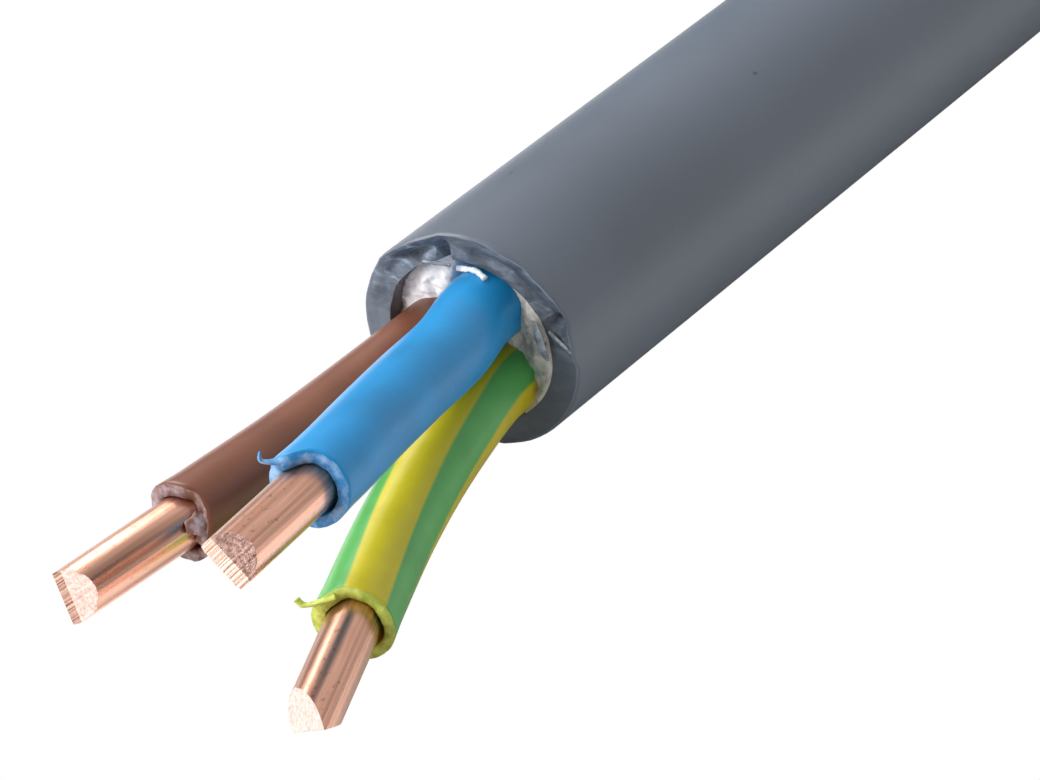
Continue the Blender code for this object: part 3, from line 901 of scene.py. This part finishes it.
# Torn strips at the insulations' ends, as steps across, near and ahead of the insulation's
# end in millimetres, with their widths
FLAPS = {
    "blue": (((-1.75, 0.55, 0.75), (-2.15, 0.25, 1.20), (-2.50, 0.15, 1.42),
              (-2.80, 0.40, 1.30)), (0.55, 0.36, 0.20, 0.06)),
    "brown": (((0.70, 1.62, -0.15), (0.55, 1.58, 0.35), (0.35, 1.46, 0.85)),
              (1.30, 1.10, 0.40)),
    "green_yellow": (((-1.35, 1.20, 0.10), (-2.00, 0.65, 0.50), (-2.55, 0.30, 0.66),
                      (-3.00, 0.32, 0.55)), (0.70, 0.42, 0.24, 0.40)),
}


def make_flap(colour):
    """The torn strip that hangs from the end of one insulation."""
    end, *directions = tip_frame(insulation_route(colour))
    steps, widths = FLAPS[colour]
    places = [end + along_tip(step, directions) * MM for step in steps]
    across = directions[0] if colour == "brown" else directions[2]
    return make_sliver(f"flap_{colour}", places, [width * MM for width in widths], across,
                       FLAP_THICKNESS, f"{colour}_torn", f"insulation_{colour}")


# Shreds of the sheath on its cut face, as steps right, forward and up from its centre in
# millimetres, with their widths
SHREDS = (
    (((4.00, 0.10, 2.42), (4.38, 0.25, 1.65), (4.60, 0.25, 0.95), (4.72, 0.00, 0.40)),
     (0.25, 0.55, 0.42, 0.16)),
    (((4.70, -0.10, 2.05), (5.30, -0.16, 1.62), (5.95, -0.26, 1.10)), (0.16, 0.26, 0.12)),
    (((-2.35, 0.85, 4.35), (-1.60, 0.85, 4.50), (-0.80, 0.60, 4.48)), (0.10, 0.20, 0.12)),
)


def make_shreds():
    """The shreds on the sheath's cut face, joined as one piece."""
    made = []
    for index, (steps, widths) in enumerate(SHREDS, start=1):
        places = placed(steps)
        out = (places[1] - CUT).normalized()
        made.append(make_sliver(f"sheath_shreds_{index}", places, [width * MM for width in widths],
                                out, SHRED_THICKNESS, "sheath_shred", "sheath"))
    select_only(made[0])
    for shred in made[1:]:
        shred.select_set(True)
    bpy.ops.object.join()
    return made[0]


# A strand of the packing that lies over the blue core, as steps right, forward and up from the
# middle of the cut in millimetres
STRAND = ((-0.75, 0.00, 4.02), (-0.10, 0.22, 4.30), (0.70, 0.50, 4.56), (1.42, 0.76, 4.50))
STRAND_RADIUS = 0.15 * MM
STRAND_STEP = 0.06 * MM
STRAND_SIDES = 20


def make_strand():
    """The loose strand of packing over the blue core."""
    points = smooth_curve(placed(STRAND), STRAND_STEP)
    obj = swept_tube("packing_strand", points, STRAND_RADIUS, STRAND_SIDES, capped=True)
    for vertex in obj.data.vertices:
        vertex.co += vertex.normal * noise.noise(vertex.co * 5000.0) * 0.05 * MM
    dress(obj, "packing_string")
    bpy.ops.object.shade_smooth()
    keep(obj, "filler")
    return obj


# The tips of the conductors. Each is a roof that side cutters leave. Its planes are given in
# radii of the wire: steps across the picture, towards the camera and along the wire, and the
# distance from the tip's nominal place. The strip is where the first plane's sheared part ends.
TIP_STEP = 0.8 * MM
TIP_SPARE = 3.5 * CONDUCTOR_RADIUS  # wire past the nominal end, for the cutters to take off
TIP_REACH = 4 * CONDUCTOR_RADIUS
SAME_FACING = 0.995
# The bite and shear tones are painted light and shade: each facet gets a lighter or darker tone by
# how it faces the lamps, so which kind is brighter changes from wire to wire.
TIPS = {
    "blue": {"planes": (((0.0, 0.55, 1.0), 0.27), ((0.0, -0.9, 1.0), 0.52)),
             "strip": ((0.0, 1.0, 0.0), 0.16),
             "bite": ((0.16, 0.075, 0.055), (0.66, 0.42, 0.36), 0.25),
             "shear": ((0.55, 0.28, 0.19), (0.99, 0.80, 0.68), 0.85)},
    "brown": {"planes": (((0.1, 0.72, 1.0), 0.50), ((-0.40, -1.0, 1.0), 0.79)),
              "strip": ((0.29, 1.0, 0.0), 0.10),
              "bite": ((0.62, 0.38, 0.32), (0.95, 0.74, 0.67), 0.20),
              "shear": ((0.17, 0.085, 0.060), (0.78, 0.48, 0.38), 0.75)},
    "green_yellow": {"planes": (((-1.25, 0.0, 1.0), 1.25), ((1.1, -1.31, 1.0), 1.45)),
                     "strip": ((1.0, 0.0, 0.0), -2.0),
                     "bite": ((0.72, 0.46, 0.40), (0.98, 0.80, 0.74), 0.20),
                     "shear": ((0.34, 0.17, 0.12), (0.88, 0.58, 0.47), 0.50)},
}


def tip_frame(points):
    """A wire's end, and its directions across the picture, towards the camera and along."""
    ahead = (points[-1] - points[-2]).normalized()
    sizes = bpy.context.scene.cable_sizes
    sight = (camera_place(sizes)[0] - points[-1]).normalized()
    near = (sight - ahead * sight.dot(ahead)).normalized()
    across = sight.cross(ahead).normalized()
    return points[-1], across, near, ahead


def along_tip(steps, directions):
    """A step given across, near and ahead of a wire's end, as a vector."""
    return sum((direction * step for step, direction in zip(steps, directions)), Vector())


def make_conductor(colour):
    """One solid copper conductor with the facets that side cutters leave."""
    points = core_route(colour, TIP_STEP)
    end, *directions = tip_frame(points)
    rod = [*points, end + directions[2] * TIP_SPARE]
    obj = swept_tube(f"conductor_{colour}_wire", rod, CONDUCTOR_RADIUS, WIRE_SIDES, capped=True)
    dress(obj, "copper", f"{colour}_bite", f"{colour}_shear")
    tip = TIPS[colour]
    facings = []
    for steps, reach in tip["planes"]:
        facing = along_tip(steps, directions)
        place = end + directions[2] * (reach * CONDUCTOR_RADIUS)
        edit_all()
        bpy.ops.mesh.bisect(plane_co=place, plane_no=facing.normalized(), use_fill=True,
                            clear_outer=True)
        bpy.ops.object.mode_set(mode="OBJECT")
        facings.append(facing.normalized())
    strip, edge = tip["strip"]
    split = along_tip(strip, directions).normalized()
    select_where(obj, "FACE", lambda face: face.normal.dot(facings[0]) > SAME_FACING
                 and (face.center - end).length < TIP_REACH)
    bpy.ops.mesh.bisect(plane_co=end + split * edge * CONDUCTOR_RADIUS, plane_no=split)
    bpy.ops.object.mode_set(mode="OBJECT")
    for face in obj.data.polygons:
        offset = face.center - end
        if offset.length > TIP_REACH:
            continue
        if face.normal.dot(facings[0]) > SAME_FACING:
            beyond = offset.dot(split) > edge * CONDUCTOR_RADIUS
            face.material_index = 1 if beyond else 2
        elif face.normal.dot(facings[1]) > SAME_FACING:
            face.material_index = 2
    bpy.ops.object.shade_smooth_by_angle(angle=radians(30.0))
    keep(obj, "copper", f"conductor_{colour}")
    return obj


# The packing's strands: node, finish, the sector they fill in degrees round the cable, and how
# far behind the cut they lie at the bore and at the middle, in millimetres
PACKING = (
    ("filler_right", "packing_beige", 22.0, 137.0, 0.10, 0.95),
    # The right strand takes the white packing's painted-shade copy.
    ("filler_bottom", "packing_chalk", 137.0, 252.0, 1.3, 2.0),
    ("filler_top_left", "packing_chalk", 252.0, 382.0, 0.45, 0.95),
)
PACKING_STEPS = (110, 44)
PACKING_BACK = 9.0 * MM
PACKING_CORE = 0.8 * MM
HOLLOW_DEPTH = 3.2        # millimetres, of the dark gap along the blue core's left side
HOLLOW_WIDTH = 0.42 * MM


def packing_depth(spot, wall_depth, core_depth, share):
    """How far behind the cut the packing's face lies, in metres."""
    blue = core_centre(CORES["blue"][0]) - CUT
    beside = (spot - blue).length - CORE_RADIUS
    hollow = HOLLOW_DEPTH * exp(-(max(0.0, beside) / HOLLOW_WIDTH) ** 2)
    gap = hollow if spot.x < blue.x else 0.0
    fold = noise.noise(spot * 700.0) * 0.40 + noise.noise(spot * 2100.0) * 0.16
    crumb = noise.noise(spot * 5200.0) * 0.07
    slope = wall_depth + (core_depth - wall_depth) * (1.0 - smooth_step(share))
    return (slope + gap + fold + crumb) * MM


def make_packing():
    """The dry packing in the valleys between the cores, each strand with its rough face."""
    made = []
    for name, finish, first, last, wall_depth, core_depth in PACKING:
        bpy.ops.object.select_all(action="DESELECT")
        bpy.ops.mesh.primitive_grid_add(x_subdivisions=PACKING_STEPS[0],
                                        y_subdivisions=PACKING_STEPS[1], size=2.0)
        obj = bpy.context.object
        obj.name = f"{name}_strand"
        for vertex in obj.data.vertices:
            vertex.co.y = (vertex.co.y + 1.0) / 2
            vertex.co.x = radians(first + (last - first) * (vertex.co.x + 1.0) / 2)
        edit_all()
        bpy.ops.mesh.extrude_region_move(TRANSFORM_OT_translate={"value": (0.0, 0.0, 1.0)})
        bpy.ops.object.mode_set(mode="OBJECT")
        for vertex in obj.data.vertices:
            turn, share, front = vertex.co
            reach = PACKING_CORE + (BORE_RADIUS - PACKING_CORE) * share
            spot = Vector((sin(turn), 0.0, cos(turn))) * reach
            depth = packing_depth(spot, wall_depth, core_depth, share) if front else PACKING_BACK
            vertex.co = CUT + spot + Vector((0.0, depth, 0.0))
        edit_all()
        bpy.ops.mesh.normals_make_consistent(inside=False)
        bpy.ops.object.mode_set(mode="OBJECT")
        dress(obj, finish)
        bpy.ops.object.shade_smooth()
        keep(obj, "filler", name)
        made.append(obj)
    return made


# The far end. Its cores' cut faces stand proud of the sheath's.
FAR_SUNK = 0.4 * MM
FAR_SIDES = 40
FAR_FACES = (("insulation", CORE_RADIUS, 0.25 * MM), ("conductor", CONDUCTOR_RADIUS, 0.40 * MM))


def make_far_end(route):
    """The cores' cut faces at the far end of the cable."""
    tip = route[-1]
    ahead, side, up = ring_frames(route)[-1]
    made = []
    for colour, (angle, _, _) in CORES.items():
        turn = radians(angle)
        centre = tip + (side * sin(turn) + up * cos(turn)) * CORE_OFFSET
        for kind, radius, proud in FAR_FACES:
            ends = [centre - ahead * FAR_SUNK, centre + ahead * proud]
            obj = swept_tube(f"far_{kind}_{colour}", ends, radius, FAR_SIDES, capped=True)
            # The far copper faces take their wire's bite tone, with its painted light and shade.
            dress(obj, colour if kind == "insulation" else f"{colour}_bite")
            bpy.ops.object.shade_smooth_by_angle(angle=radians(35.0))
            keep(obj, f"insulation_{colour}" if kind == "insulation" else "copper")
            made.append(obj)
    return made


def camera_place(sizes):
    """The camera's place and turn that put the cut end where the photograph has it."""
    turn = sizes.azimuth
    rise = sizes.elevation
    forward = Vector((-sin(turn) * cos(rise), cos(turn) * cos(rise), -sin(rise)))
    right = Vector((cos(turn), sin(turn), 0.0))
    up = right.cross(forward)
    across = (CUT_PIXEL[0] - PHOTO_WIDTH / 2) / FOCAL_PIXELS * CUT_DISTANCE
    down = (CUT_PIXEL[1] - PHOTO_HEIGHT / 2) / FOCAL_PIXELS * CUT_DISTANCE
    place = CUT - forward * CUT_DISTANCE - right * across + up * down
    return place, forward.to_track_quat("-Z", "Y")


# The soft lights: their places from the cut and sizes in metres, and their power in watts
LIGHTS = {
    "key_light": ((-0.42, 0.10, 0.42), 0.40, 3.0),
    "front_light": ((-0.22, -0.52, 0.30), 0.35, 3.8),
}
# The white room's brightness away from the camera and on its side, and where it changes, as the
# cosine of the angle to the camera
ROOM_LEVEL = 0.85
CAMERA_SIDE_LEVEL = 0.22
ROOM_FALL = (0.10, 0.95)
FLOOR_SIZE = 6.0


def add_area_light(name):
    """Adds one soft light that faces the cut end."""
    place, size, energy = LIGHTS[name]
    light = bpy.data.lights.new(name, "AREA")
    light.size = size
    light.energy = energy
    obj = bpy.data.objects.new(name, light)
    obj.location = CUT + Vector(place)
    obj.rotation_euler = (CUT - obj.location).to_track_quat("-Z", "Y").to_euler()
    bpy.context.scene.collection.objects.link(obj)


def floor_finish():
    """A white table that the camera sees as plain white."""
    finish = Finish("floor_paper", 0.9, specular=0.1)
    finish.shader.inputs["Base Color"].default_value = (0.90, 0.90, 0.90, 1.0)
    seen = finish.node("ShaderNodeLightPath").outputs["Is Camera Ray"]
    plain = finish.node("ShaderNodeEmission", inputs={"Color": (1.0, 1.0, 1.0, 1.0)})
    both = finish.node("ShaderNodeMixShader", inputs={0: seen, 1: finish.shader.outputs["BSDF"],
                                                      2: plain.outputs["Emission"]})
    output = finish.tree.nodes["Material Output"]
    finish.tree.links.new(both.outputs["Shader"], output.inputs["Surface"])
    return finish.material


def studio_world(sizes):
    """A white room that is darker on the camera's side."""
    world = bpy.data.worlds.new("studio")
    world.use_nodes = True
    tree = world.node_tree
    sight = (camera_place(sizes)[0] - CUT).normalized()
    place = add_node(tree, "ShaderNodeTexCoord").outputs["Generated"]
    facing = add_node(tree, "ShaderNodeVectorMath", {"operation": "DOT_PRODUCT"},
                      {0: place, 1: sight})
    fall = add_node(tree, "ShaderNodeMapRange", {"interpolation_type": "SMOOTHSTEP"},
                    {"Value": facing.outputs["Value"], "From Min": ROOM_FALL[0],
                     "From Max": ROOM_FALL[1], "To Min": ROOM_LEVEL,
                     "To Max": CAMERA_SIDE_LEVEL})
    background = tree.nodes["Background"]
    background.inputs["Color"].default_value = (1.0, 1.0, 1.0, 1.0)
    tree.links.new(fall.outputs["Result"], background.inputs["Strength"])
    return world


class CABLE_OT_stage(bpy.types.Operator):
    """Adds the camera, the white floor, the soft lights and the white room"""
    bl_idname = "cable.stage"
    bl_label = "Stage"

    def execute(self, context):
        sizes = context.scene.cable_sizes
        camera = bpy.data.cameras.new("photo_camera")
        camera.sensor_width = SENSOR_WIDTH
        camera.lens = FOCAL_PIXELS / PHOTO_WIDTH * camera.sensor_width
        camera.clip_start = 10.0 * MM
        obj = bpy.data.objects.new("photo_camera", camera)
        obj.rotation_mode = "QUATERNION"
        obj.location, obj.rotation_quaternion = camera_place(sizes)
        context.scene.collection.objects.link(obj)
        context.scene.camera = obj
        bpy.ops.object.select_all(action="DESELECT")
        bpy.ops.mesh.primitive_plane_add(size=FLOOR_SIZE, location=(0.0, 0.0, -0.1 * MM))
        floor = context.object
        floor.name = "floor"
        floor.data.materials.append(floor_finish())
        for name in LIGHTS:
            add_area_light(name)
        context.scene.world = studio_world(sizes)
        context.scene.view_settings.view_transform = "Standard"
        return {"FINISHED"}


class CABLE_OT_sheath(bpy.types.Operator):
    """Builds the sheath from its cut end to the far end of the coil"""
    bl_idname = "cable.sheath"
    bl_label = "Sheath"

    def execute(self, context):
        sheath, route = make_sheath(context.scene.cable_sizes)
        MADE["sheath"] = sheath
        MADE["route"] = route
        return {"FINISHED"}


class CABLE_OT_cores(bpy.types.Operator):
    """Builds the stripped cores, their bare copper and their torn strips"""
    bl_idname = "cable.cores"
    bl_label = "Cores"

    def execute(self, context):
        for colour in CORES:
            MADE["pieces"] += [make_insulation(colour), make_conductor(colour), make_flap(colour)]
        return {"FINISHED"}


class CABLE_OT_packing(bpy.types.Operator):
    """Builds the packing in the cut end, its loose strand and the shreds of the sheath"""
    bl_idname = "cable.packing"
    bl_label = "Packing"

    def execute(self, context):
        MADE["pieces"] += [*make_packing(), make_strand(), make_shreds()]
        return {"FINISHED"}


class CABLE_OT_far_end(bpy.types.Operator):
    """Builds the cores' cut faces at the far end"""
    bl_idname = "cable.far_end"
    bl_label = "Far end"

    def execute(self, context):
        MADE["pieces"] += make_far_end(MADE["route"])
        return {"FINISHED"}


class CABLE_OT_ties(bpy.types.Operator):
    """Finishes the ties that hold the coil"""
    bl_idname = "cable.ties"
    bl_label = "Ties"

    def execute(self, context):
        for tie in coil_ties():
            dress(tie, "tie")
        return {"FINISHED"}


class CABLE_PT_panel(bpy.types.Panel):
    """Lists the steps that dress the cable"""
    bl_idname = "CABLE_PT_panel"
    bl_label = "Three-core cable"
    bl_space_type = "VIEW_3D"
    bl_region_type = "UI"
    bl_category = "Cable"

    def draw(self, context):
        for step in STEPS:
            self.layout.operator(step.bl_idname)
        for group in (context.scene.cable_sizes, context.scene.cable_colours):
            for name in group.__annotations__:
                self.layout.prop(group, name)


STEPS = (CABLE_OT_stage, CABLE_OT_sheath, CABLE_OT_cores, CABLE_OT_packing, CABLE_OT_far_end,
         CABLE_OT_ties)
CLASSES = (CableSizes, CableColours, *STEPS, CABLE_PT_panel)
MADE = {"pieces": []}


def register():
    """Makes the panel, the steps and their settings known to Blender."""
    for item in CLASSES:
        bpy.utils.register_class(item)
    bpy.types.Scene.cable_sizes = PointerProperty(type=CableSizes)
    bpy.types.Scene.cable_colours = PointerProperty(type=CableColours)


def unregister():
    del bpy.types.Scene.cable_colours
    del bpy.types.Scene.cable_sizes
    for item in reversed(CLASSES):
        bpy.utils.unregister_class(item)


def main():
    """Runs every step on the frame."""
    register()
    make_finishes(bpy.context.scene.cable_colours)
    bpy.ops.cable.stage()
    bpy.ops.cable.sheath()
    bpy.ops.cable.cores()
    bpy.ops.cable.packing()
    bpy.ops.cable.far_end()
    bpy.ops.cable.ties()


if __name__ == "__main__":
    main()
